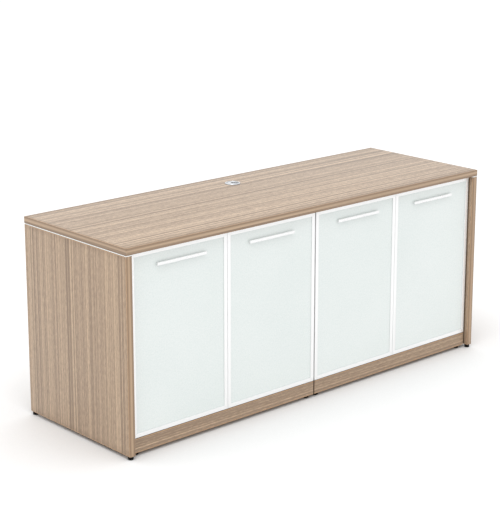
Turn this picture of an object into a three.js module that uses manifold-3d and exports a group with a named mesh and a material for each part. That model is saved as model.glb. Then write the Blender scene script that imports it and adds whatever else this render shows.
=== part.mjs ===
// Office credenza: a worktop on two end panels, with two glass-door cabinets under it.
// Millimetres, +Z up. X runs along the length, -Y is the door side, the floor is z = 0.
import * as THREE from 'three';
import { mergeVertices } from 'three/addons/utils/BufferGeometryUtils.js';
import Module from 'manifold-3d';

const wasm = await Module();
wasm.setup();

// Overall size
const WIDTH = 1780;
const DEPTH = 590;
const HEIGHT = 749;

// Shell boards
const WORKTOP_T = 25;
const END_T = 25;
const SHELL_ROUND = 2;
const MODESTY_T = 18;
const MODESTY_INSET = 3;
const MODESTY_CLEAR = 60;

// Reveal strips between the end panels and the worktop
const STRIP_H = 3;
const STRIP_INSET = 0.4;
const TONGUE_T = 4;
const TONGUE_H = 8;
const TONGUE_STOP = 20;

// Cabinet boards
const BOARD_T = 18;
const BOARD_ROUND = 0.8;
const BACK_T = 6;
const BACK_INSET = 4;
const SIDE_GAP = 5;
const MIDDLE_GAP = 3.5;
const PLINTH_H = 52;
const PLINTH_T = 28;
const SHELF_RISE = 303;
const SHELF_SETBACK = 24;
const DADO_DEPTH = 5;
const RAIL_SETBACK = 40;
const CABLE_SPACE = 8;

// Doors
const DOOR_RECESS = 18;
const DOOR_T = 20;
const DOOR_GAP = 2;
const DOOR_EDGE = 1;
const DOOR_MEET = 1.2;
const DOOR_SILL = 2;
const FRAME_FACE = 15;
const FRAME_STEP = 4;
const FRAME_LIP = 2.4;
const GLASS_BITE = 6.6;
const FRAME_CHAMFER = 0.5;
const MITRE_LINE = 0.3;
const GLASS_T = 4;

// Door pivots
const PIVOT_IN = 6.5;
const PIVOT_BEHIND = 6;
const PIN_R = 2;
const PIN_WALL = 1.5;
const PLATE_T = 1.5;
const PLATE_CLEAR = 0.7;
const PLATE_W = 9;
const PLATE_L = 44;
const SCREW_R = 2.8;
const SCREW_SINK = 0.6;

// Door handles
const HANDLE_L = 217;
const HANDLE_H = 10.5;
const HANDLE_T = 6;
const HANDLE_PROJECTION = 11.5;
const HANDLE_ROUND = 0.8;
const HANDLE_DROP = 54;
const HANDLE_SHIFT = 5;
const POST_SPACING = 160;
const POST_R = 3.5;
const BOLT_R = 2.5;
const BOLT_HEAD_R = 5;
const BOLT_HEAD_T = 2.5;

// Door stops
const STOP_W = 44;
const STOP_H = 14;
const STOP_D = 30;
const STOP_ROUND = 1.5;

// Cable grommet
const GROMMET_FROM_BACK = 112;
const GROMMET_TUBE_R = 25.5;
const GROMMET_LIP = 4.5;
const GROMMET_CROWN = 3.5;
const GROMMET_WALL = 2.1;
const GROMMET_LEDGE = 2;
const GROMMET_TUBE_L = 20;
const CAP_SEAT = 1;
const CAP_PLUG = 5;
const NOTCH_W = 15;
const NOTCH_TURN = -53;

// Levelling glides
const GLIDE_H = 13;
const GLIDE_R = 10;
const GLIDE_GRIP = 0.7;
const GLIDE_GRIPS = 8;
const GLIDE_CHAMFER = 1;
const GLIDE_INSET = 23;
const GLIDE_BEHIND = 5;
const STEM_R = 4;
const STEM_L = 20;

// Working clearances
const FIT = 0.3;
const TURN_STEPS = 32;
const SMALL_STEPS = 14;

// Levels and planes that follow from the sizes
const frontY = -DEPTH / 2;
const backY = DEPTH / 2;
const worktopUnder = HEIGHT - WORKTOP_T;
const endTop = worktopUnder - STRIP_H;
const innerX = WIDTH / 2 - END_T;
const cabinetW = (2 * innerX - 2 * SIDE_GAP - MIDDLE_GAP) / 2;
const cabinetX = (MIDDLE_GAP + cabinetW) / 2;
const clearW = cabinetW - 2 * BOARD_T;
const doorFront = frontY + DOOR_RECESS;
const carcassFront = doorFront + DOOR_T + DOOR_GAP;
const plinthBack = doorFront + PLINTH_T;
const grommetY = backY - GROMMET_FROM_BACK;
const carcassBack = grommetY - GROMMET_TUBE_R - CABLE_SPACE;
const plinthTop = GLIDE_H + PLINTH_H;
const doorBottom = plinthTop + DOOR_SILL;
const headPlateZ = worktopUnder - FIT - PLATE_T;
const sillPlateZ = plinthTop - FIT - PLATE_T;
const doorTop = headPlateZ - PLATE_CLEAR;
const doorH = doorTop - doorBottom;
const doorW = (cabinetW - 2 * DOOR_EDGE - DOOR_MEET) / 2;
const floorUnder = plinthTop;
const floorTop = floorUnder + BOARD_T;
const ceiling = worktopUnder - BOARD_T;
const backFace = carcassBack - BACK_INSET - BACK_T;
const shelfUnder = floorTop + SHELF_RISE;
const railFront = carcassBack - RAIL_SETBACK - BOARD_T;
const frontGlideY = (doorFront + plinthBack) / 2 + GLIDE_BEHIND;
const rearGlideY = railFront + BOARD_T / 2;
const flangeR = GROMMET_TUBE_R + GROMMET_LIP;
const seatR = GROMMET_TUBE_R - GROMMET_WALL;
const boreR = seatR - GROMMET_LEDGE;
const glassFront = FRAME_LIP + FIT;
const frameWeb = FRAME_FACE - GLASS_BITE;
const pinHoleL = frameWeb - PIN_WALL;
const pinReach = pinHoleL - 2 * FIT;
const hingeX = cabinetW / 2 - DOOR_EDGE - PIVOT_IN;
const hingeY = doorFront + PIVOT_BEHIND;

// Materials, a new one for each mesh
const finishes = {
  wood: { color: 0xcbb7a2, roughness: 0.55, metalness: 0 },
  carcass: { color: 0xc4af99, roughness: 0.6, metalness: 0 },
  frame: { color: 0xf1f2f1, roughness: 0.35, metalness: 0.1 },
  glass: { color: 0xe6edea, roughness: 0.45, metalness: 0 },
  strip: { color: 0xe4e4e2, roughness: 0.35, metalness: 0.6 },
  silver: { color: 0xdcdfe2, roughness: 0.28, metalness: 0.8 },
  steel: { color: 0xa9abad, roughness: 0.4, metalness: 0.9 },
  black: { color: 0x141414, roughness: 0.55, metalness: 0 },
  grey: { color: 0xb9bab8, roughness: 0.6, metalness: 0 },
};

function mesh(name, geometry, finish) {
  const made = new THREE.Mesh(geometry, new THREE.MeshStandardMaterial(finishes[finish]));
  made.name = name;
  return made;
}

// Solids and booleans
function toSolid(geometry) {
  const plain = geometry.clone();
  plain.deleteAttribute('normal');
  plain.deleteAttribute('uv');
  const merged = mergeVertices(plain, 1e-4);
  return new wasm.Manifold(new wasm.Mesh({
    numProp: 3,
    vertProperties: new Float32Array(merged.attributes.position.array),
    triVerts: new Uint32Array(merged.index.array),
  }));
}

function toGeometry(solid) {
  const result = solid.getMesh();
  const geometry = new THREE.BufferGeometry();
  geometry.setAttribute('position', new THREE.BufferAttribute(new Float32Array(result.vertProperties), 3));
  geometry.setIndex(new THREE.BufferAttribute(new Uint32Array(result.triVerts), 1));
  const facets = geometry.toNonIndexed();
  facets.computeVertexNormals();
  return facets;
}

function cut(body, tools) {
  const rest = tools.reduce((solid, tool) => solid.subtract(toSolid(tool)), toSolid(body));
  return toGeometry(rest);
}

function join(pieces) {
  const [first, ...others] = pieces.map(toSolid);
  return toGeometry(others.reduce((solid, other) => solid.add(other), first));
}

// Profiles
function rectangle(width, height) {
  const shape = new THREE.Shape();
  shape.moveTo(-width / 2, -height / 2);
  shape.lineTo(width / 2, -height / 2);
  shape.lineTo(width / 2, height / 2);
  shape.lineTo(-width / 2, height / 2);
  shape.closePath();
  return shape;
}

function roundedRectangle(width, height, radius) {
  const shape = new THREE.Shape();
  shape.moveTo(width / 2 - radius, -height / 2);
  shape.absarc(width / 2 - radius, radius - height / 2, radius, -Math.PI / 2, 0);
  shape.absarc(width / 2 - radius, height / 2 - radius, radius, 0, Math.PI / 2);
  shape.absarc(radius - width / 2, height / 2 - radius, radius, Math.PI / 2, Math.PI);
  shape.absarc(radius - width / 2, radius - height / 2, radius, Math.PI, Math.PI * 1.5);
  return shape;
}

// An extrusion from z = 0 to z = length, with its two ends softened by a radius
function extrude(shape, length, round = 0, roundSteps = 2, curveSegments = 4) {
  const geometry = new THREE.ExtrudeGeometry(shape, {
    depth: length - 2 * round,
    curveSegments,
    bevelEnabled: round > 0,
    bevelThickness: round,
    bevelSize: round,
    bevelOffset: -round,
    bevelSegments: roundSteps,
  });
  return geometry.translate(0, 0, round);
}

// The same along X: the shape's axes become Y and Z, and the middle of the length is x = 0
function extrudeX(shape, length, round = 0, roundSteps = 2) {
  const axes = new THREE.Matrix4().makeBasis(
    new THREE.Vector3(0, 1, 0),
    new THREE.Vector3(0, 0, 1),
    new THREE.Vector3(1, 0, 0),
  );
  return extrude(shape, length, round, roundSteps).applyMatrix4(axes).translate(-length / 2, 0, 0);
}

// The same along Y: the shape's axes become X and Z, and the length runs to -Y from y = 0
function extrudeY(shape, length, round = 0, roundSteps = 2) {
  const axes = new THREE.Matrix4().makeBasis(
    new THREE.Vector3(1, 0, 0),
    new THREE.Vector3(0, 0, 1),
    new THREE.Vector3(0, -1, 0),
  );
  return extrude(shape, length, round, roundSteps).applyMatrix4(axes);
}

function block(x0, x1, y0, y1, z0, z1) {
  const geometry = new THREE.BoxGeometry(x1 - x0, y1 - y0, z1 - z0);
  return geometry.translate((x0 + x1) / 2, (y0 + y1) / 2, (z0 + z1) / 2);
}

function rod(radius, z0, z1, steps = SMALL_STEPS) {
  const geometry = new THREE.CylinderGeometry(radius, radius, z1 - z0, steps);
  return geometry.rotateX(Math.PI / 2).translate(0, 0, (z0 + z1) / 2);
}

function rodY(radius, y0, y1, steps = SMALL_STEPS) {
  const geometry = new THREE.CylinderGeometry(radius, radius, y1 - y0, steps);
  return geometry.translate(0, (y0 + y1) / 2, 0);
}

// A profile of [radius, height] points turned about Z
function turned(points, steps = TURN_STEPS) {
  const profile = points.map(([radius, height]) => new THREE.Vector2(radius, height));
  return new THREE.LatheGeometry(profile, steps).rotateX(Math.PI / 2);
}

// A picture frame with true mitres: [inset, depth] profile points carried round a rectangle
function mitredFrame(profile, width, height) {
  const corners = [[-1, -1], [1, -1], [1, 1], [-1, 1]];
  const positions = [];
  for (const [sideX, sideZ] of corners) {
    for (const [inset, depth] of profile) {
      positions.push(sideX * (width / 2 - inset), depth, sideZ * (height / 2 - inset));
    }
  }
  const count = profile.length;
  const faces = [];
  for (let corner = 0; corner < corners.length; corner += 1) {
    const ring = corner * count;
    const nextRing = ((corner + 1) % corners.length) * count;
    for (let point = 0; point < count; point += 1) {
      const next = (point + 1) % count;
      faces.push(ring + point, nextRing + point, nextRing + next);
      faces.push(ring + point, nextRing + next, ring + next);
    }
  }
  const geometry = new THREE.BufferGeometry();
  geometry.setAttribute('position', new THREE.Float32BufferAttribute(positions, 3));
  geometry.setIndex(faces);
  return geometry;
}

// Shell
function makeWorktop() {
  const slab = extrude(rectangle(WIDTH, DEPTH), WORKTOP_T, SHELL_ROUND, 3);
  const bore = rod(GROMMET_TUBE_R + FIT, -1, WORKTOP_T + 1, TURN_STEPS).translate(0, grommetY, 0);
  const worktop = mesh('worktop', cut(slab, [bore]), 'wood');
  worktop.position.z = worktopUnder;
  return worktop;
}

function makeEndPanel(name, side) {
  const height = endTop - GLIDE_H;
  const glideY = DEPTH / 2 - END_T / 2;
  const slab = extrudeX(rectangle(DEPTH, height), END_T, SHELL_ROUND, 3);
  const grooveHalf = TONGUE_T / 2 + FIT;
  const grooveEnd = DEPTH / 2 - TONGUE_STOP + FIT;
  const groove = block(
    -grooveHalf, grooveHalf, -grooveEnd, grooveEnd, height / 2 - TONGUE_H - FIT, height / 2 + 1,
  );
  const holes = [-glideY, glideY].map((y) => glideHole().translate(0, y, -height / 2));
  const panel = mesh(name, cut(slab, [groove, ...holes]), 'wood');
  panel.position.set(side * (WIDTH / 2 - END_T / 2), 0, GLIDE_H + height / 2);
  return panel;
}

function makeRevealStrip(name, side) {
  const halfW = END_T / 2 - STRIP_INSET;
  const halfD = DEPTH / 2 - STRIP_INSET;
  const tongueEnd = DEPTH / 2 - TONGUE_STOP;
  const plate = block(-halfW, halfW, -halfD, halfD, 0, STRIP_H);
  const tongue = block(-TONGUE_T / 2, TONGUE_T / 2, -tongueEnd, tongueEnd, -TONGUE_H, STRIP_H / 2);
  const strip = mesh(name, join([plate, tongue]), 'strip');
  strip.position.set(side * (WIDTH / 2 - END_T / 2), 0, endTop);
  return strip;
}

function makeModestyPanel() {
  const height = worktopUnder - MODESTY_CLEAR;
  const slab = extrudeY(rectangle(2 * innerX, height), MODESTY_T);
  const panel = mesh('modesty_panel', slab, 'wood');
  panel.position.set(0, backY - MODESTY_INSET, MODESTY_CLEAR + height / 2);
  return panel;
}

// Cable grommet: a flanged liner and a notched cap that turns on the liner's ledge
function makeGrommetLiner() {
  const crown = GROMMET_CROWN;
  const profile = [
    [flangeR, 0],
    [flangeR, crown * 0.45],
    [flangeR - crown * 0.25, crown * 0.8],
    [flangeR - crown * 0.7, crown],
    [seatR + crown * 0.2, crown],
    [seatR, crown * 0.8],
    [seatR, -CAP_SEAT],
    [boreR, -CAP_SEAT],
    [boreR, -GROMMET_TUBE_L],
    [GROMMET_TUBE_R, -GROMMET_TUBE_L],
    [GROMMET_TUBE_R, 0],
    [flangeR, 0],
  ];
  const liner = mesh('grommet_liner', turned(profile), 'silver');
  liner.position.set(0, grommetY, HEIGHT);
  return liner;
}

function makeGrommetCap() {
  const capR = seatR - FIT;
  const plugR = boreR - FIT;
  const crown = GROMMET_CROWN;
  const profile = [
    [0, -CAP_SEAT - CAP_PLUG],
    [plugR, -CAP_SEAT - CAP_PLUG],
    [plugR, FIT - CAP_SEAT],
    [capR, FIT - CAP_SEAT],
    [capR, crown * 0.5],
    [capR - crown * 0.3, crown * 0.75],
    [capR - crown, crown * 0.85],
    [0, crown * 0.85],
  ];
  const bottom = -CAP_SEAT - CAP_PLUG - 1;
  const slot = block(0, capR + 1, -NOTCH_W / 2, NOTCH_W / 2, bottom, crown + 1);
  const slotEnd = rod(NOTCH_W / 2, bottom, crown + 1);
  const cap = mesh('grommet_cap', cut(turned(profile), [slot, slotEnd]), 'silver');
  cap.position.set(0, grommetY, HEIGHT);
  cap.rotation.z = THREE.MathUtils.degToRad(NOTCH_TURN);
  return cap;
}

// Levelling glides
function glideHole() {
  return rod(STEM_R + FIT, -1, STEM_L + 2 * FIT);
}

function makeGlide(name, x, y) {
  const outline = new THREE.Shape();
  const points = GLIDE_GRIPS * 4;
  for (let step = 0; step < points; step += 1) {
    const angle = (step / points) * Math.PI * 2;
    const dip = Math.max(0, Math.cos(angle * GLIDE_GRIPS)) * GLIDE_GRIP;
    const along = (GLIDE_R - dip) * Math.cos(angle);
    const across = (GLIDE_R - dip) * Math.sin(angle);
    if (step === 0) outline.moveTo(along, across);
    else outline.lineTo(along, across);
  }
  outline.closePath();
  const foot = extrude(outline, GLIDE_H - FIT, GLIDE_CHAMFER, 1);
  const stem = rod(STEM_R, GLIDE_H / 2, GLIDE_H + STEM_L);
  const glide = mesh(name, join([foot, stem]), 'black');
  glide.position.set(x, y, 0);
  return glide;
}

// Cabinet boards, placed about the middle of the cabinet's width
function makeSide(name, side) {
  const profile = new THREE.Shape();
  profile.moveTo(plinthBack, GLIDE_H);
  profile.lineTo(carcassBack, GLIDE_H);
  profile.lineTo(carcassBack, worktopUnder);
  profile.lineTo(carcassFront, worktopUnder);
  profile.lineTo(carcassFront, plinthTop);
  profile.lineTo(plinthBack, plinthTop);
  profile.closePath();
  const slab = extrudeX(profile, BOARD_T);
  const inner = -side * BOARD_T / 2;
  const dadoX = [inner - side, inner + side * DADO_DEPTH].sort((a, b) => a - b);
  const dado = block(
    dadoX[0], dadoX[1],
    carcassFront + SHELF_SETBACK - FIT, backFace + FIT,
    shelfUnder - FIT, shelfUnder + BOARD_T + FIT,
  );
  const plateX = side * (hingeX - (cabinetW / 2 - BOARD_T / 2));
  const plateEnd = hingeY - PLATE_W / 2 + PLATE_L + FIT;
  const pocket = block(
    plateX - PLATE_W / 2 - FIT, plateX + PLATE_W / 2 + FIT,
    carcassFront - 1, plateEnd,
    headPlateZ - FIT, worktopUnder + 1,
  );
  const board = mesh(name, cut(slab, [dado, pocket]), 'carcass');
  board.position.x = side * (cabinetW / 2 - BOARD_T / 2);
  return board;
}

function makeLevelBoard(name, width, yFront, yBack, under) {
  const slab = extrudeX(roundedRectangle(yBack - yFront, BOARD_T, BOARD_ROUND), width);
  const board = mesh(name, slab, 'carcass');
  board.position.set(0, (yFront + yBack) / 2, under + BOARD_T / 2);
  return board;
}

function makeCabinetBack(name) {
  const height = ceiling - floorTop;
  const board = mesh(name, extrudeY(rectangle(clearW, height), BACK_T), 'carcass');
  board.position.set(0, backFace + BACK_T, floorTop + height / 2);
  return board;
}

function makePlinth(name) {
  const width = cabinetW - 2 * DOOR_EDGE;
  const slab = extrudeY(rectangle(width, PLINTH_H), PLINTH_T, BOARD_ROUND);
  slab.translate(0, plinthBack, GLIDE_H + PLINTH_H / 2);
  const tools = [];
  for (const side of [-1, 1]) {
    const glideX = side * (cabinetW / 2 - GLIDE_INSET);
    tools.push(glideHole().translate(glideX, frontGlideY, GLIDE_H));
    const tip = side * (hingeX + PLATE_W / 2 + FIT);
    const tail = side * (hingeX + PLATE_W / 2 - PLATE_L - FIT);
    tools.push(block(
      Math.min(tip, tail), Math.max(tip, tail),
      hingeY - PLATE_W / 2 - FIT, hingeY + PLATE_W / 2 + FIT,
      sillPlateZ - FIT, plinthTop + 1,
    ));
  }
  return mesh(name, cut(slab, tools), 'wood');
}

function makeRearRail(name) {
  const height = floorUnder - GLIDE_H;
  const slab = extrudeY(rectangle(clearW, height), BOARD_T);
  slab.translate(0, railFront + BOARD_T, GLIDE_H + height / 2);
  const holes = [-1, 1].map((side) => {
    const glideX = side * (cabinetW / 2 - BOARD_T - GLIDE_INSET);
    return glideHole().translate(glideX, rearGlideY, GLIDE_H);
  });
  return mesh(name, cut(slab, holes), 'carcass');
}

function makeDoorStop(name) {
  const outline = roundedRectangle(STOP_W, STOP_D, STOP_ROUND * 2);
  const stop = mesh(name, extrude(outline, STOP_H, STOP_ROUND, 1), 'grey');
  stop.position.set(0, carcassFront - DOOR_GAP + FIT + STOP_D / 2, ceiling - STOP_H);
  return stop;
}

// Doors, placed about their pivot; hand is 1 where the door runs to +X from it, -1 to -X
function makeDoorFrame(name, hand) {
  const slot = GLASS_T + 2 * FIT;
  const seat = FRAME_LIP + slot;
  const rear = (seat + DOOR_T) / 2;
  const profile = [
    [FRAME_CHAMFER, 0],
    [FRAME_FACE - FRAME_CHAMFER, 0],
    [FRAME_FACE, FRAME_CHAMFER],
    [FRAME_FACE, FRAME_LIP],
    [frameWeb, FRAME_LIP],
    [frameWeb, seat],
    [FRAME_FACE, seat],
    [FRAME_FACE, seat + FRAME_LIP],
    [FRAME_FACE - FRAME_STEP, rear],
    [FRAME_FACE - FRAME_STEP, DOOR_T],
    [FRAME_CHAMFER, DOOR_T],
    [0, DOOR_T - FRAME_CHAMFER],
    [0, FRAME_CHAMFER],
  ];
  const ring = mitredFrame(profile, doorW, doorH);
  const pinX = -hand * (doorW / 2 - PIVOT_IN);
  const holes = [
    rod(PIN_R + FIT, doorH / 2 - pinHoleL, doorH / 2 + 1).translate(pinX, PIVOT_BEHIND, 0),
    rod(PIN_R + FIT, -doorH / 2 - 1, pinHoleL - doorH / 2).translate(pinX, PIVOT_BEHIND, 0),
  ];
  const mitres = [[-1, -1], [1, -1], [1, 1], [-1, 1]].map(([sideX, sideZ]) => {
    const reach = FRAME_FACE * Math.SQRT2 + 2;
    const line = block(-reach / 2, reach / 2, -1, MITRE_LINE, -MITRE_LINE / 2, MITRE_LINE / 2);
    line.rotateY(-sideX * sideZ * Math.PI / 4);
    return line.translate(sideX * (doorW - FRAME_FACE) / 2, 0, sideZ * (doorH - FRAME_FACE) / 2);
  });
  const frame = mesh(name, cut(ring, [...holes, ...mitres]), 'frame');
  frame.position.set(hand * (doorW / 2 - PIVOT_IN), -PIVOT_BEHIND, doorBottom + doorH / 2);
  return frame;
}

function handleX(hand) {
  return hand * (doorW / 2 - PIVOT_IN + HANDLE_SHIFT);
}

function makeDoorGlass(name, hand) {
  const edge = frameWeb + FIT;
  const height = doorH - 2 * edge;
  const pane = extrudeY(rectangle(doorW - 2 * edge, height), GLASS_T, FIT, 1);
  pane.translate(0, GLASS_T, 0);
  const postZ = doorH / 2 - HANDLE_DROP;
  const holes = [-1, 1].map((side) => (
    rodY(BOLT_R + FIT, -1, GLASS_T + 1).translate(hand * HANDLE_SHIFT + side * POST_SPACING / 2, 0, postZ)
  ));
  const glass = mesh(name, cut(pane, holes), 'glass');
  glass.position.set(
    hand * (doorW / 2 - PIVOT_IN), glassFront - PIVOT_BEHIND, doorBottom + doorH / 2,
  );
  return glass;
}

// A flat bar on two posts that stand on the glass, each with a bolt through the glass and a head behind it
function makeDoorHandle(name, hand) {
  const section = roundedRectangle(HANDLE_T, HANDLE_H, HANDLE_ROUND);
  const barMiddle = HANDLE_T / 2 - HANDLE_PROJECTION;
  const bar = extrudeX(section, HANDLE_L, HANDLE_ROUND / 2, 1).translate(0, barMiddle, 0);
  const headFront = GLASS_T + FIT;
  const posts = [];
  for (const side of [-1, 1]) {
    const post = join([
      rodY(POST_R, barMiddle, -FIT),
      rodY(BOLT_R, -2 * FIT, headFront + BOLT_HEAD_T / 2),
      rodY(BOLT_HEAD_R, headFront, headFront + BOLT_HEAD_T),
    ]);
    posts.push(post.translate(side * POST_SPACING / 2, 0, 0));
  }
  const handle = mesh(name, join([bar, ...posts]), 'frame');
  handle.position.set(handleX(hand), glassFront - PIVOT_BEHIND, doorTop - HANDLE_DROP);
  return handle;
}

function makeDoor(name, hand) {
  const door = new THREE.Group();
  door.add(makeDoorFrame(`${name}_frame`, hand));
  door.add(makeDoorGlass(`${name}_glass`, hand));
  door.add(makeDoorHandle(`${name}_handle`, hand));
  door.position.set(-hand * hingeX, hingeY, 0);
  return door;
}

// A pivot plate with its pin: the tail runs along +X, the pin stands up along +Z from the plate
function pivotPlate(gap) {
  const half = PLATE_W / 2;
  const outline = new THREE.Shape();
  outline.moveTo(0, -half);
  outline.lineTo(PLATE_L - half, -half);
  outline.lineTo(PLATE_L - half, half);
  outline.lineTo(0, half);
  outline.absarc(0, 0, half, Math.PI / 2, Math.PI * 1.5);
  const plate = extrude(outline, PLATE_T, 0, 1, 8);
  const screws = [0.55, 0.85].map((part) => (
    rod(SCREW_R, PLATE_T - SCREW_SINK, PLATE_T + 1).translate(PLATE_L * part - half, 0, 0)
  ));
  const pin = rod(PIN_R, PLATE_T / 2, PLATE_T + gap + pinReach);
  return join([cut(plate, screws), pin]);
}

function makeSillPivot(name, hand) {
  const pivot = mesh(name, pivotPlate(doorBottom - sillPlateZ - PLATE_T), 'steel');
  pivot.position.set(-hand * hingeX, hingeY, sillPlateZ);
  pivot.rotation.z = hand > 0 ? 0 : Math.PI;
  return pivot;
}

function makeHeadPivot(name, hand) {
  const pivot = mesh(name, pivotPlate(headPlateZ - doorTop), 'steel');
  pivot.position.set(-hand * hingeX, hingeY, headPlateZ + PLATE_T);
  pivot.rotation.set(Math.PI, 0, -Math.PI / 2);
  return pivot;
}

// A cabinet of boards, two doors on their pivots, and four glides
function makeCabinet(name, side, firstDoor) {
  const cabinet = new THREE.Group();
  cabinet.position.x = side * cabinetX;
  cabinet.add(makeSide(`${name}_side_left`, -1));
  cabinet.add(makeSide(`${name}_side_right`, 1));
  cabinet.add(makeLevelBoard(`${name}_bottom`, clearW, carcassFront, carcassBack, floorUnder));
  cabinet.add(makeLevelBoard(`${name}_top`, clearW, carcassFront, carcassBack, ceiling));
  const shelfW = clearW + 2 * (DADO_DEPTH - FIT);
  cabinet.add(makeLevelBoard(`${name}_shelf`, shelfW, carcassFront + SHELF_SETBACK, backFace, shelfUnder));
  cabinet.add(makeCabinetBack(`${name}_back`));
  cabinet.add(makePlinth(`${name}_plinth`));
  cabinet.add(makeRearRail(`${name}_rear_rail`));
  cabinet.add(makeDoorStop(`${name}_door_stop`));
  for (const hand of [1, -1]) {
    const door = `door_${hand > 0 ? firstDoor : firstDoor + 1}`;
    cabinet.add(makeDoor(door, hand));
    cabinet.add(makeSillPivot(`${door}_pivot_sill`, hand));
    cabinet.add(makeHeadPivot(`${door}_pivot_head`, hand));
  }
  for (const end of [-1, 1]) {
    const label = end < 0 ? 'left' : 'right';
    const frontX = end * (cabinetW / 2 - GLIDE_INSET);
    const rearX = end * (cabinetW / 2 - BOARD_T - GLIDE_INSET);
    cabinet.add(makeGlide(`${name}_glide_front_${label}`, frontX, frontGlideY));
    cabinet.add(makeGlide(`${name}_glide_rear_${label}`, rearX, rearGlideY));
  }
  return cabinet;
}

// Assembly
const credenza = new THREE.Group();
credenza.name = 'office_credenza';
credenza.add(makeWorktop());
credenza.add(makeModestyPanel());
credenza.add(makeGrommetLiner());
credenza.add(makeGrommetCap());
for (const side of [-1, 1]) {
  const label = side < 0 ? 'left' : 'right';
  const glideX = side * (WIDTH / 2 - END_T / 2);
  const glideY = DEPTH / 2 - END_T / 2;
  credenza.add(makeEndPanel(`end_panel_${label}`, side));
  credenza.add(makeRevealStrip(`reveal_strip_${label}`, side));
  credenza.add(makeGlide(`end_${label}_glide_front`, glideX, -glideY));
  credenza.add(makeGlide(`end_${label}_glide_rear`, glideX, glideY));
}
credenza.add(makeCabinet('left_cabinet', -1, 1));
credenza.add(makeCabinet('right_cabinet', 1, 3));

export default credenza;
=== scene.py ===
import math

import bmesh
import bpy
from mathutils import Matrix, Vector


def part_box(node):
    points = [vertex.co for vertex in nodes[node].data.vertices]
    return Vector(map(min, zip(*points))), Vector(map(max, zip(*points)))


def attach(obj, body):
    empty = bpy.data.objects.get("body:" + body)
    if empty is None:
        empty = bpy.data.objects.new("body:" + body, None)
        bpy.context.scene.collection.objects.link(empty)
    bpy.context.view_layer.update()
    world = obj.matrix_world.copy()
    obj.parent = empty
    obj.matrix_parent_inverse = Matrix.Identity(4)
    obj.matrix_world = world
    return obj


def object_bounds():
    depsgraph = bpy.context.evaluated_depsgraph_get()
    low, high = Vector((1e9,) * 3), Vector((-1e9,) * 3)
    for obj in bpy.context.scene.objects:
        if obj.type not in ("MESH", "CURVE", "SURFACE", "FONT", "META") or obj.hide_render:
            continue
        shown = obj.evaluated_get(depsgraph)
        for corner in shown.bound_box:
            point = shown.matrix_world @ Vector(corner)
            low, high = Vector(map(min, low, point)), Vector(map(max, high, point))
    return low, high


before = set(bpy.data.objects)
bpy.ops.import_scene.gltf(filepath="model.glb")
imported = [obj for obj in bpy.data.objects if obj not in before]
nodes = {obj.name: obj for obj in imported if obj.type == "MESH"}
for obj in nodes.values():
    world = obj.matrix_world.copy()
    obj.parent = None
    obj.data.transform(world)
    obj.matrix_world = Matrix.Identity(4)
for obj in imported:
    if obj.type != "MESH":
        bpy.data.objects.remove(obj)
cad_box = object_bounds()

# Camera, in metres and degrees, fitted to the photograph's edges
CAMERA_PLACE = (-3.9252, -4.2645, 2.1285)
CAMERA_HEADING = 42.081
CAMERA_PITCH = 14.153
CAMERA_LENS = 111.97
CAMERA_SENSOR = 36.0
CAMERA_SHIFT = -0.08

# Light and floor
SKY_LEVEL = 0.93
KEY_FROM = (-0.34, -0.28, 0.90)
KEY_DISTANCE = 14.0
KEY_SIZE = 9.0
KEY_LEVEL = 0.243
FLOOR_SIZE = 60.0
FLOOR_BOUNCE = 0.76
FLOOR_SEEN = 0.86
# Glow of the floor to the eye, and the painted shadow that fades it near the object
FLOOR_LIFT = 0.22
FLOOR_OPEN = 0.5
FLOOR_REACH = 0.8
FLOOR_SAMPLES = 8
WHITE = (1.0, 1.0, 1.0, 1.0)

# Lowest and highest corners of boards
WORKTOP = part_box("worktop")
END_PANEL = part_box("end_panel_right")
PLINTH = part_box("right_cabinet_plinth")
DOORS = ("door_1", "door_2", "door_3", "door_4")

# Eased edges, and painted shade in corners, shared by all materials
EASED_RADIUS = 0.0006
EASED_SAMPLES = 4
EDGE_TURN = (0.995, 0.85)
PAINTED_SHADE_SAMPLES = 6
PAINTED_SHADE_OPEN = (0.3, 1.0)


def srgb(red, green, blue):
    """A display colour from 0 to 255 as linear RGBA."""
    def channel(value):
        value /= 255
        return value / 12.92 if value <= 0.04045 else ((value + 0.055) / 1.055) ** 2.4
    return (channel(red), channel(green), channel(blue), 1.0)


def connect(tree, socket, value):
    """Links a socket to another, or sets its constant."""
    if isinstance(value, bpy.types.NodeSocket):
        tree.links.new(value, socket)
    else:
        socket.default_value = value


def add(tree, kind, inputs=None, **settings):
    """A new shader node with its settings, values and links."""
    made = tree.nodes.new("ShaderNode" + kind)
    for key, value in settings.items():
        setattr(made, key, value)
    for key, value in (inputs or {}).items():
        connect(tree, made.inputs[key], value)
    return made


def maths(tree, operation, first, second=0.0, third=0.0):
    return add(tree, "Math", {0: first, 1: second, 2: third}, operation=operation).outputs[0]


def times(tree, first, second):
    return maths(tree, "MULTIPLY", first, second)


def plus(tree, value, factor, start):
    """start with factor times value added to it."""
    return maths(tree, "MULTIPLY_ADD", value, factor, start)


def away(tree, value, middle):
    """How far value lies from middle."""
    return maths(tree, "ABSOLUTE", maths(tree, "SUBTRACT", value, middle))


def ramp(tree, factor, stops):
    """A colour ramp through (position, colour) stops."""
    made = add(tree, "ValToRGB", {"Fac": factor})
    elements = made.color_ramp.elements
    while len(elements) < len(stops):
        elements.new(0.5)
    for element, (position, colour) in zip(elements, stops):
        element.position = position
        element.color = colour
    return made.outputs["Color"]


def spread(tree, value, low, high, to_low=0.0, to_high=1.0):
    """value carried from one range to another and held inside it."""
    inputs = {"Value": value, "From Min": low, "From Max": high, "To Min": to_low, "To Max": to_high}
    return add(tree, "MapRange", inputs).outputs["Result"]


def noise(tree, vector, scale=1.0, detail=2.0, rough=0.5):
    inputs = {"Vector": vector, "Scale": scale, "Detail": detail, "Roughness": rough}
    return add(tree, "TexNoise", inputs).outputs["Fac"]


def stretched(tree, vector, factors):
    return add(tree, "VectorMath", {0: vector, 1: factors}, operation="MULTIPLY").outputs[0]


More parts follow.
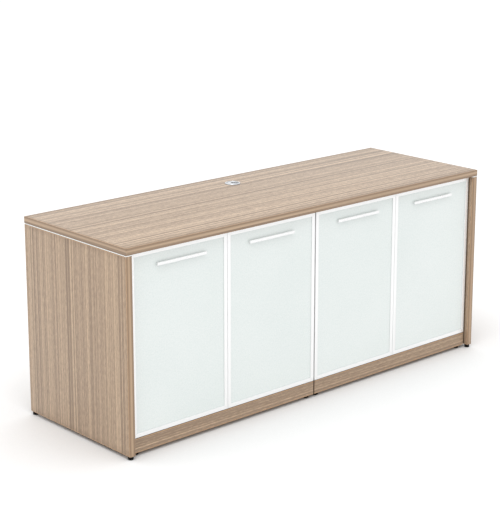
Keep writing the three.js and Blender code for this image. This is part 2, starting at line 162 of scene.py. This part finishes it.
def scaled(tree, vector, factor):
    return add(tree, "VectorMath", {0: vector, "Scale": factor}, operation="SCALE").outputs[0]


def tint(tree, factor, first, second, blend="MIX"):
    """first turning into second as factor goes from 0 to 1."""
    made = add(tree, "Mix", data_type="RGBA", blend_type=blend)
    for socket, value in ((made.inputs[0], factor), (made.inputs[6], first), (made.inputs[7], second)):
        connect(tree, socket, value)
    return made.outputs[2]


def material(name):
    """A new material with its shader and the coordinates of the part's frame."""
    made = bpy.data.materials.new(name)
    made.use_nodes = True
    tree = made.node_tree
    tree.nodes.clear()
    shader = add(tree, "BsdfPrincipled")
    tree.links.new(shader.outputs[0], add(tree, "OutputMaterial").inputs[0])
    place = add(tree, "TexCoord").outputs["Object"]
    return made, tree, shader, place


def plug(tree, shader, **inputs):
    """Values and links for the shader's sockets, named with _ for a space."""
    for key, value in inputs.items():
        connect(tree, shader.inputs[key.replace("_", " ")], value)


def bump(tree, height, strength, distance, normal):
    inputs = {"Height": height, "Strength": strength, "Distance": distance, "Normal": normal}
    return add(tree, "Bump", inputs).outputs["Normal"]


def eased_edges(tree):
    """The normal with the edges eased over a small radius, and a mask of the places near an edge."""
    eased = add(tree, "Bevel", {"Radius": EASED_RADIUS}, samples=EASED_SAMPLES).outputs[0]
    true = add(tree, "NewGeometry").outputs["Normal"]
    turn = add(tree, "VectorMath", {0: eased, 1: true}, operation="DOT_PRODUCT").outputs["Value"]
    return eased, spread(tree, turn, *EDGE_TURN)


def painted_corner_shade(tree, colour, reach, depth):
    """colour darkened down to depth times in corners closer than reach: painted shade where shadow would
    fall.
    """
    near = add(tree, "AmbientOcclusion", {"Distance": reach}, samples=PAINTED_SHADE_SAMPLES).outputs["AO"]
    return scaled(tree, colour, spread(tree, near, *PAINTED_SHADE_OPEN, depth, 1.0))


# Wood-grain laminate: colours of the streaks, of the striped edge band, of the arris and of the painted
# shade beside the sides
GRAIN_DARK = (153, 133, 115)
GRAIN_BROWN = (179, 157, 137)
GRAIN_TAN = (201, 177, 152)
GRAIN_LIGHT = (221, 197, 169)
GRAIN_STOPS = ((0.0, GRAIN_DARK), (0.33, GRAIN_BROWN), (0.62, GRAIN_TAN), (1.0, GRAIN_LIGHT))
VEIN_BROWN = (142, 122, 105)
EDGE_DARK = (156, 131, 108)
EDGE_LIGHT = (203, 175, 146)
EDGE_STOPS = ((0.0, EDGE_DARK), (0.28, EDGE_DARK), (0.50, EDGE_LIGHT), (0.60, EDGE_LIGHT),
              (0.80, EDGE_DARK))
ARRIS_TAN = (201, 166, 131)
SEAM_BROWN = (92, 78, 66)
WORN_TAN = (226, 208, 188)
# Tint of the painted shade beside a board's sides
PAINTED_SHADE_TAN = (206, 197, 187)
# Streak layers: cycles per metre along and across the grain, detail, roughness
STREAKS = (
    (0.08, 9, 1.0, 0.5),
    (0.10, 30, 1.0, 0.5),
    (0.16, 68, 1.0, 0.5),
    (0.30, 140, 1.0, 0.5),
    (55, 420, 3.0, 0.70),
)
# How strongly each layer shows on each kind of board
TOP_WEIGHTS = (0.04, 0.06, 0.15, 0.44, 0.56)
PANEL_WEIGHTS = (0.08, 0.07, 0.10, 0.32, 0.50)
PLINTH_WEIGHTS = (0.18, 0.36, 0.20, 0.42, 0.56)
INNER_WEIGHTS = (0.07, 0.08, 0.15, 0.40, 0.48)
# Finer marks: cycles per metre along and across the grain
THREADS = (1.5, 420)
PORES = (30, 1100)
VEINS = (0.06, 62)
VEIN_CLUSTERS = (0.05, 9)
EDGE_WAVES = (0.8, 12)
# What part of a noise counts, and how much it does
THREAD_SPAN = (0.3, 0.7)
THREAD_SHADE = (0.88, 1.11)
PORE_SPAN = (0.60, 0.72)
PORE_DARK = 0.4
PORE_RELIEF = -0.8
VEIN_HALF = 0.055
CLUSTER_SPAN = (0.40, 0.60)
VEIN_DARK = (0.35, 1.0)
WAVE_SWING = 0.10
THREAD_SWING = 0.45
WEAR_SCALE = 45.0
WEAR_DETAIL = 3.0
WEAR_SPAN = (0.48, 0.66)
# Shares of the colours that are laid over the grain
STRIPE_GRAIN = 0.12
ARRIS_SHARE = 0.75
SEAM_SHARE = 0.30
WEAR_SHARE = 0.22
# Edge band's thickness and half of its seam, in metres
BAND_T = 0.0036
SEAM_T = 0.00018
# Facing below which a face belongs to the edge, and above which it belongs to an end
EDGE_FACING = 0.75
END_FACING = 0.6
LAMINATE_SHEEN = (0.46, 0.36)
# Reach and depth of the painted shade in the laminate's corners
LAMINATE_PAINTED_SHADE = (0.011, 0.30)
LAMINATE_RELIEF = (0.10, 0.0004)


def paint(colour, shade):
    """A display colour times a shade, as linear RGBA."""
    return tuple(c * s for c, s in zip(srgb(*colour), shade)) + (1.0,)


def turned_at_ends(tree, place, parts, facing):
    """place with X and Y swapped on the faces at the ends, so that their grain runs along the edge."""
    turned = add(tree, "CombineXYZ", {0: parts["Y"], 1: parts["X"], 2: parts["Z"]})
    at_end = maths(tree, "GREATER_THAN", maths(tree, "ABSOLUTE", facing["X"]), END_FACING)
    mix = add(tree, "Mix", data_type="VECTOR")
    tree.links.new(at_end, mix.inputs[0])
    tree.links.new(place, mix.inputs[4])
    tree.links.new(turned.outputs[0], mix.inputs[5])
    return mix.outputs[1]


def arris(tree, colour, distance, on_face, place, shade):
    """colour with the edge band's thickness showing on the face beside the sides, its seam and wear."""
    band = times(tree, maths(tree, "LESS_THAN", distance, BAND_T), on_face)
    colour = tint(tree, times(tree, band, ARRIS_SHARE), colour, paint(ARRIS_TAN, shade))
    seam = times(tree, maths(tree, "LESS_THAN", away(tree, distance, BAND_T), SEAM_T), on_face)
    colour = tint(tree, times(tree, seam, SEAM_SHARE), colour, srgb(*SEAM_BROWN))
    rubbed = spread(tree, noise(tree, place, scale=WEAR_SCALE, detail=WEAR_DETAIL), *WEAR_SPAN)
    near = times(tree, spread(tree, distance, 0.0, BAND_T, 1.0, 0.0), on_face)
    wear = times(tree, times(tree, near, rubbed), WEAR_SHARE)
    return tint(tree, wear, colour, srgb(*WORN_TAN))


def laminate(name, grain, weights, shade, reach=0.14, thick=None, sides=(), painted_edge_shade=(), turn_ends=False):
    """Laminate with long straight streaks along the axis grain. A smaller reach gives stronger streaks.
    thick gives the axis of the board's thickness, with its low and high distance from the origin, for
    the striped edge band, and sides the (axis, middle, half) of the faces' sides. fade is the width and
    the strength of a painted shade beside each pair of sides."""
    made, tree, shader, place = material(name)
    parts = add(tree, "SeparateXYZ", {0: place}).outputs
    facing = add(tree, "SeparateXYZ", {0: add(tree, "NewGeometry").outputs["Normal"]}).outputs
    where = turned_at_ends(tree, place, parts, facing) if turn_ends else place

    def streaks(along, across, detail=1.0, rough=0.5):
        factors = tuple(along if axis == grain else across for axis in "XYZ")
        return noise(tree, stretched(tree, where, factors), detail=detail, rough=rough)

    field = 0.0
    for layer, weight in zip(STREAKS, weights):
        field = plus(tree, streaks(*layer), weight, field)
    middle = sum(weights) / 2
    field = spread(tree, field, middle - reach, middle + reach)
    colour = ramp(tree, field, [(stop, paint(tone, shade)) for stop, tone in GRAIN_STOPS])
    thread = streaks(*THREADS)
    fine = spread(tree, thread, *THREAD_SPAN, *THREAD_SHADE)
    colour = scaled(tree, colour, fine)
    pore = spread(tree, streaks(*PORES), *PORE_SPAN)
    vein = spread(tree, away(tree, streaks(*VEINS), 0.5), 0.0, VEIN_HALF, 1.0, 0.0)
    vein = times(tree, vein, spread(tree, streaks(*VEIN_CLUSTERS), *CLUSTER_SPAN, *VEIN_DARK))
    colour = tint(tree, plus(tree, pore, PORE_DARK, vein), colour, paint(VEIN_BROWN, shade))
    if thick:
        inward = [maths(tree, "SUBTRACT", half, away(tree, parts[axis], centre))
                  for axis, centre, half in sides]
        # Painted shade along the board's sides, fading inward
        for off, (wide, strength) in zip(inward, painted_edge_shade):
            beside = spread(tree, off, 0.0, wide, strength, 0.0)
            colour = tint(tree, beside, colour, srgb(*PAINTED_SHADE_TAN), "MULTIPLY")
        axis, low, high = thick
        through = spread(tree, maths(tree, "ABSOLUTE", parts[axis]), low, high)
        wave = maths(tree, "SUBTRACT", streaks(*EDGE_WAVES), 0.5)
        through = plus(tree, wave, WAVE_SWING, through)
        through = plus(tree, maths(tree, "SUBTRACT", thread, 0.5), THREAD_SWING, through)
        stripes = ramp(tree, through, [(stop, paint(tone, shade)) for stop, tone in EDGE_STOPS])
        stripes = tint(tree, STRIPE_GRAIN, scaled(tree, stripes, fine), colour)
        edge = maths(tree, "LESS_THAN", maths(tree, "ABSOLUTE", facing[axis]), EDGE_FACING)
        colour = tint(tree, edge, colour, stripes)
        distance = inward[0]
        for other in inward[1:]:
            distance = maths(tree, "MINIMUM", distance, other)
        colour = arris(tree, colour, distance, maths(tree, "SUBTRACT", 1.0, edge), place, shade)
    # Painted shade: the laminate darkened in corners, in gaps beside the doors and under the worktop's
    # overhang
    colour = painted_corner_shade(tree, colour, *LAMINATE_PAINTED_SHADE)
    sheen = spread(tree, field, 0.0, 1.0, *LAMINATE_SHEEN)
    relief = plus(tree, pore, PORE_RELIEF, thread)
    normal = bump(tree, relief, *LAMINATE_RELIEF, eased_edges(tree)[0])
    plug(tree, shader, Base_Color=colour, Roughness=sheen, Normal=normal)
    return made


# Painted, plated and moulded surfaces
CLOUD_SCALE = 9.0
CLOUD_DETAIL = 3.0
CLOUD_SHARE = 0.6
FINE_SHARE = 0.4
SHADE_SPAN = (0.36, 0.64)
FINE_SPAN = (0.3, 0.7)
RUB_SCALE = 60.0
RUB_DETAIL = 3.0
RUB_SPAN = (0.42, 0.62)
RUB_POLISH = 0.25
ROUGH_LOW = 0.85
ROUGH_HIGH = 1.15
# Reach of the painted shade in tight corners
PAINTED_SHADE_REACH = 0.010
TEXTURE_DEPTH = 0.0003


def finish(name, colour, rough, metal=0.0, variation=0.03, grain=900.0, stretch=(1, 1, 1), strength=0.04,
           worn=None, specular=0.5, corner=1.0):
    """A painted, plated or moulded surface: cloudy colour, fine texture in roughness and bump, and eased
    and worn edges. corner is how dark a painted shade makes the colour in tight corners."""
    made, tree, shader, place = material(name)
    cloud = noise(tree, place, scale=CLOUD_SCALE, detail=CLOUD_DETAIL)
    fine = noise(tree, stretched(tree, place, stretch), scale=grain)
    low = tuple(c * (1 - variation) for c in colour[:3]) + (1.0,)
    high = tuple(min(1.0, c * (1 + variation)) for c in colour[:3]) + (1.0,)
    shade = plus(tree, fine, FINE_SHARE, times(tree, cloud, CLOUD_SHARE))
    painted = tint(tree, spread(tree, shade, *SHADE_SPAN), low, high)
    eased, edge = eased_edges(tree)
    rub = noise(tree, place, scale=RUB_SCALE, detail=RUB_DETAIL)
    rubbed = times(tree, edge, spread(tree, rub, *RUB_SPAN))
    if worn:
        painted = tint(tree, rubbed, painted, worn)
    # Painted shade: the colour darkened in tight corners
    if corner < 1.0:
        painted = painted_corner_shade(tree, painted, PAINTED_SHADE_REACH, corner)
    roughness = spread(tree, fine, *FINE_SPAN, rough * ROUGH_LOW, min(1.0, rough * ROUGH_HIGH))
    roughness = plus(tree, rubbed, -RUB_POLISH * rough, roughness)
    plug(tree, shader, Base_Color=painted, Roughness=roughness, Metallic=metal, Specular_IOR_Level=specular,
         Normal=bump(tree, fine, strength, TEXTURE_DEPTH, eased))
    return made


# Frosted glass: scale and share of its cloud, its grit and its specks
GLASS_CLOUD = (2.6, 0.25)
GLASS_GRIT = (190.0, 0.45)
GLASS_SPECK = (520.0, 0.30)
GLASS_LOW = (233, 241, 239)
GLASS_HIGH = (246, 251, 249)
# Reach and depth of the painted shade on the glass beside the frame and the handles
GLASS_PAINTED_SHADE = (0.012, 0.8)
GLASS_ROUGH = (0.30, 0.42)
GLASS_RELIEF = (0.05, 0.0002)
GLASS_COAT = 0.25
GLASS_COAT_ROUGH = 0.22


def frosted_glass(name):
    """Etched glass with a pale back: a soft cloud, a fine sparkle and a satin surface."""
    made, tree, shader, place = material(name)
    cloud = noise(tree, place, scale=GLASS_CLOUD[0])
    grit = noise(tree, place, scale=GLASS_GRIT[0])
    speck = noise(tree, place, scale=GLASS_SPECK[0])
    mixed = plus(tree, grit, GLASS_GRIT[1], times(tree, cloud, GLASS_CLOUD[1]))
    mixed = plus(tree, speck, GLASS_SPECK[1], mixed)
    colour = tint(tree, spread(tree, mixed, *SHADE_SPAN), srgb(*GLASS_LOW), srgb(*GLASS_HIGH))
    # Painted shade: the glass darkened beside the frame and behind the handles
    colour = painted_corner_shade(tree, colour, *GLASS_PAINTED_SHADE)
    rough = spread(tree, speck, *FINE_SPAN, *GLASS_ROUGH)
    normal = bump(tree, speck, *GLASS_RELIEF, eased_edges(tree)[0])
    plug(tree, shader, Base_Color=colour, Roughness=rough, Normal=normal, Coat_Weight=GLASS_COAT,
         Coat_Roughness=GLASS_COAT_ROUGH)
    return made


def board_sides(low, high, axes):
    """The (axis, middle, half) of a board's sides along each of the axes."""
    ends = [(axis, low["XYZ".index(axis)], high["XYZ".index(axis)]) for axis in axes]
    return [(axis, (start + end) / 2, (end - start) / 2) for axis, start, end in ends]


INNER_SHADE = (0.95, 0.95, 0.94)
PURE_WHITE = srgb(255, 255, 255)
COAT_WHITE = srgb(252, 252, 252)
LOOKS = {
    # The worktop, the end panels and the plinth are one laminate in lighter and darker copies: painted
    # light and shade for how each is lit
    "worktop": laminate("worktop_laminate", "X", TOP_WEIGHTS, (0.99, 0.99, 0.995), reach=0.112,
                        thick=("Z", WORKTOP[0].z, WORKTOP[1].z), sides=board_sides(*WORKTOP, "XY"),
                        painted_edge_shade=((0.014, 0.74), (0.040, 0.92)), turn_ends=True),
    "end_panel": laminate("panel_laminate", "Z", PANEL_WEIGHTS, (0.955, 0.925, 0.89),
                          thick=("X", END_PANEL[0].x, END_PANEL[1].x), sides=board_sides(*END_PANEL, "YZ"),
                          painted_edge_shade=((0.025, 0.43), (0.025, 0.43))),
    "plinth": laminate("plinth_laminate", "X", PLINTH_WEIGHTS, (1.05, 1.005, 0.935),
                       thick=("Y", -PLINTH[1].y, -PLINTH[0].y), sides=board_sides(*PLINTH, "Z"),
                       painted_edge_shade=((0.006, 0.19),)),
    "upright": laminate("upright_laminate", "Z", INNER_WEIGHTS, INNER_SHADE),
    "level": laminate("level_laminate", "X", INNER_WEIGHTS, INNER_SHADE),
    "frame": finish("satin_white", COAT_WHITE, 0.46, metal=0.62, variation=0.008, strength=0.03),
    "handle": finish("handle_white", COAT_WHITE, 0.30, metal=0.4, variation=0.008, stretch=(0.02, 1, 1),
                     strength=0.02, worn=PURE_WHITE),
    "glass": frosted_glass("frosted_glass"),
    "strip": finish("satin_strip", srgb(248, 248, 246), 0.30, metal=0.7, variation=0.01,
                    stretch=(1, 0.02, 1), worn=PURE_WHITE),
    # The silver's corner value paints shade into the grommet's slot
    "silver": finish("satin_silver", srgb(226, 229, 233), 0.24, metal=0.9, variation=0.02, grain=600.0,
                     worn=srgb(244, 245, 247), corner=0.4),
    "steel": finish("zinc_plate", srgb(176, 179, 182), 0.36, metal=1.0, variation=0.08, grain=400.0,
                    worn=srgb(205, 206, 208)),
    "black": finish("black_nylon", srgb(14, 14, 15), 0.60, variation=0.15, grain=1400.0, strength=0.12,
                    worn=srgb(34, 34, 36), specular=0.12),
    "bead": finish("glazing_bead", srgb(222, 230, 228), 0.45, variation=0.03, grain=1000.0, strength=0.05,
                   worn=srgb(236, 241, 240)),
    "grey": finish("grey_nylon", srgb(188, 189, 187), 0.55, variation=0.04, grain=1200.0, strength=0.10,
                   worn=srgb(206, 207, 205)),
}
# Finish of a CAD node by the start, a middle part or the end of its name
STARTS = {"worktop": "worktop", "modesty_panel": "level", "end_panel": "end_panel", "reveal_strip": "strip",
          "grommet": "silver"}
MIDDLES = {"_glide_": "black", "_pivot_": "steel"}
ENDINGS = {"_frame": "frame", "_glass": "glass", "_handle": "handle", "_plinth": "plinth",
           "_door_stop": "grey", "_shelf": "level", "_bottom": "level", "_top": "level",
           "_back": "upright", "_rear_rail": "level", "_side_left": "upright", "_side_right": "upright"}


def look_of(name):
    """The finish of a CAD node, by its name."""
    fitting = [look for start, look in STARTS.items() if name.startswith(start)]
    fitting += [look for middle, look in MIDDLES.items() if middle in name]
    fitting += [look for ending, look in ENDINGS.items() if name.endswith(ending)]
    return fitting[0]


ROUND_LOOKS = ("silver", "steel", "black", "handle", "worktop", "end_panel")
WELD_REACH = 0.00001
CREASE_ANGLE = 32.0


def smoothed(node):
    """Facets of round surfaces shaded as one, with edges sharper than the crease angle kept."""
    node.data.attributes.remove(node.data.attributes["custom_normal"])
    node.data.polygons.foreach_set("use_smooth", [True] * len(node.data.polygons))
    node.data.edges.foreach_set("use_edge_sharp", [False] * len(node.data.edges))
    weld = node.modifiers.new("weld", "WELD")
    weld.merge_threshold = WELD_REACH
    crease = node.modifiers.new("crease", "EDGE_SPLIT")
    crease.split_angle = math.radians(CREASE_ANGLE)


for name, node in nodes.items():
    look = look_of(name)
    node.data.materials.clear()
    node.data.materials.append(LOOKS[look])
    if look in ROUND_LOOKS:
        smoothed(node)


# Small pieces that ride on the part's bodies
FRAME_FACE = 0.015
GLASS_BACK = 0.0027
# Bead's section: inset from the frame's inner edge and height over the glass
BEAD = ((0.0, 0.00002), (0.0, 0.0007), (0.0005, 0.00076), (0.001, 0.00048), (0.0012, 0.00002))
BEAD_CORNERS = ((0, 0), (1, 0), (1, 1), (0, 1))
PLATE_HALF = 0.0045
PLATE_T = 0.0015
SCREW_STEPS = (0.0197, 0.0329)
SCREW_SINK = 0.0006
SCREW_R = 0.0025
SCREW_H = 0.0005
SCREW_SIDES = 32
CROSS_DEPTH = 0.0003
CROSS_CENTRE = 0.5
# Screw's rings: share of its radius, share of its height, and how deep the cross is there
SCREW_RINGS = (
    (0.16, 1.0, CROSS_DEPTH),
    (0.58, 1.0, CROSS_DEPTH),
    (0.62, 1.0, 0.0),
    (0.90, 1.0, 0.0),
    (1.0, 0.5, 0.0),
    (1.0, 0.0, 0.0),
)


def piece(name, points, faces, body, look):
    """A mesh piece that rides on a body and fills a material slot."""
    made_mesh = bpy.data.meshes.new(name)
    made_mesh.from_pydata(points, [], faces)
    made_mesh.materials.append(LOOKS[look])
    made_mesh.validate()
    made = bpy.data.objects.new(name, made_mesh)
    bpy.context.scene.collection.objects.link(made)
    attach(made, body)


def glazing_bead(door):
    """A rounded bead on the glass, mitred round the inner edge of the door's frame."""
    low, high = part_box(door + "_frame")
    points = []
    for side_x, side_z in BEAD_CORNERS:
        for inset, stand in BEAD:
            inset += FRAME_FACE
            x = high.x - inset if side_x else low.x + inset
            z = high.z - inset if side_z else low.z + inset
            points.append((x, low.y + GLASS_BACK - stand, z))
    count = len(BEAD)
    faces = []
    for corner in range(len(BEAD_CORNERS)):
        ring = corner * count
        following = (corner + 1) % len(BEAD_CORNERS) * count
        for at in range(count):
            after = (at + 1) % count
            faces.append((ring + at, following + at, following + after, ring + after))
    piece(door + "_bead", points, faces, door, "bead")


def screw_head(centre, up):
    """Points and faces of a low screw head with a cross recess; up is 1 or -1 along Z."""
    quarter = SCREW_SIDES // 4
    points = [(centre.x, centre.y, centre.z + up * (SCREW_H - CROSS_DEPTH))]
    for wide, tall, sunk in SCREW_RINGS:
        for step in range(SCREW_SIDES):
            angle = math.tau * step / SCREW_SIDES
            on_arm = step % quarter in (0, 1, quarter - 1)
            depth = sunk if on_arm or wide < CROSS_CENTRE else 0.0
            x = centre.x + SCREW_R * wide * math.cos(angle)
            y = centre.y + SCREW_R * wide * math.sin(angle)
            points.append((x, y, centre.z + up * (SCREW_H * tall - depth)))
    faces = []
    for step in range(SCREW_SIDES):
        after = (step + 1) % SCREW_SIDES
        faces.append((0, 1 + step, 1 + after)[::up])
        for ring in range(len(SCREW_RINGS) - 1):
            inner = 1 + ring * SCREW_SIDES
            outer = inner + SCREW_SIDES
            faces.append((inner + step, outer + step, outer + after, inner + after)[::up])
    last = 1 + (len(SCREW_RINGS) - 1) * SCREW_SIDES
    faces.append(tuple(range(last, last + SCREW_SIDES))[::-up])
    return points, faces


def pivot_screws():
    """Two screws in each pivot plate: along X on the plinths, along Y under the cabinets' tops."""
    points = []
    faces = []
    for at, door in enumerate(DOORS):
        sill_low, sill_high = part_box(door + "_pivot_sill")
        head_low, head_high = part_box(door + "_pivot_head")
        for step in SCREW_STEPS:
            x = sill_high.x - PLATE_HALF - step if at % 2 else sill_low.x + PLATE_HALF + step
            sill = Vector((x, (sill_low.y + sill_high.y) / 2, sill_low.z + PLATE_T - SCREW_SINK))
            y = head_low.y + PLATE_HALF + step
            head = Vector(((head_low.x + head_high.x) / 2, y, head_high.z - PLATE_T + SCREW_SINK))
            for centre, up in ((sill, 1), (head, -1)):
                new_points, new_faces = screw_head(centre, up)
                faces += [tuple(index + len(points) for index in face) for face in new_faces]
                points += new_points
    piece("pivot_screws", points, faces, "base", "steel")


for door in DOORS:
    glazing_bead(door)
pivot_screws()


# Light, floor and camera
def white_to_the_eye(tree, falling, shown):
    """falling for light that falls on things, and shown for what the camera and reflections see."""
    path = add(tree, "LightPath").outputs
    seen = maths(tree, "MAXIMUM", path["Is Camera Ray"], path["Is Glossy Ray"])
    seen = maths(tree, "MAXIMUM", seen, path["Is Transmission Ray"])
    return spread(tree, seen, 0.0, 1.0, falling, shown)


world = bpy.data.worlds.new("studio")
bpy.context.scene.world = world
world.use_nodes = True
sky = world.node_tree
sky.nodes.clear()
background = add(sky, "Background", {"Color": WHITE, "Strength": white_to_the_eye(sky, SKY_LEVEL, 1.0)})
sky.links.new(background.outputs[0], add(sky, "OutputWorld").inputs[0])

bm = bmesh.new()
bmesh.ops.create_grid(bm, x_segments=1, y_segments=1, size=FLOOR_SIZE / 2)
floor_mesh = bpy.data.meshes.new("floor")
bm.to_mesh(floor_mesh)
bm.free()
floor = bpy.data.objects.new("floor", floor_mesh)
bpy.context.scene.collection.objects.link(floor)
floor_look = bpy.data.materials.new("pale_floor")
floor_look.use_nodes = True
tree = floor_look.node_tree
tree.nodes.clear()
grey = white_to_the_eye(tree, FLOOR_BOUNCE, FLOOR_SEEN)
floor_colour = add(tree, "CombineColor", {0: grey, 1: grey, 2: grey}).outputs[0]
matt = add(tree, "BsdfDiffuse", {"Color": floor_colour})
# The floor's glow to the camera fades out where the object hems the floor in: a painted shadow round the
# object
open_floor = add(tree, "AmbientOcclusion", {"Distance": FLOOR_REACH}, samples=FLOOR_SAMPLES).outputs["AO"]
glow_outside_painted_shadow = spread(tree, open_floor, FLOOR_OPEN, 1.0, 0.0, FLOOR_LIFT)
glow = times(tree, white_to_the_eye(tree, 0.0, 1.0), glow_outside_painted_shadow)
lift = add(tree, "Emission", {"Color": WHITE, "Strength": glow})
both = add(tree, "AddShader", {0: matt.outputs[0], 1: lift.outputs[0]})
tree.links.new(both.outputs[0], add(tree, "OutputMaterial").inputs[0])
floor_mesh.materials.append(floor_look)

toward_key = Vector(KEY_FROM).normalized()
key_data = bpy.data.lights.new("key", "AREA")
key_data.shape = "DISK"
key_data.size = KEY_SIZE
key_data.energy = KEY_LEVEL * math.pi ** 2 * KEY_DISTANCE ** 2
key = bpy.data.objects.new("key", key_data)
bpy.context.scene.collection.objects.link(key)
aim = (cad_box[0] + cad_box[1]) / 2
key.location = aim + toward_key * KEY_DISTANCE
key.rotation_euler = toward_key.to_track_quat("Z", "Y").to_euler()
key.visible_camera = False

camera_data = bpy.data.cameras.new("camera")
camera_data.lens = CAMERA_LENS
camera_data.sensor_width = CAMERA_SENSOR
camera_data.shift_y = CAMERA_SHIFT
camera = bpy.data.objects.new("camera", camera_data)
bpy.context.scene.collection.objects.link(camera)
camera.location = CAMERA_PLACE
camera.rotation_euler = (math.radians(90 - CAMERA_PITCH), 0.0, math.radians(-CAMERA_HEADING))
bpy.context.scene.camera = camera
bpy.context.scene.view_settings.view_transform = "Standard"
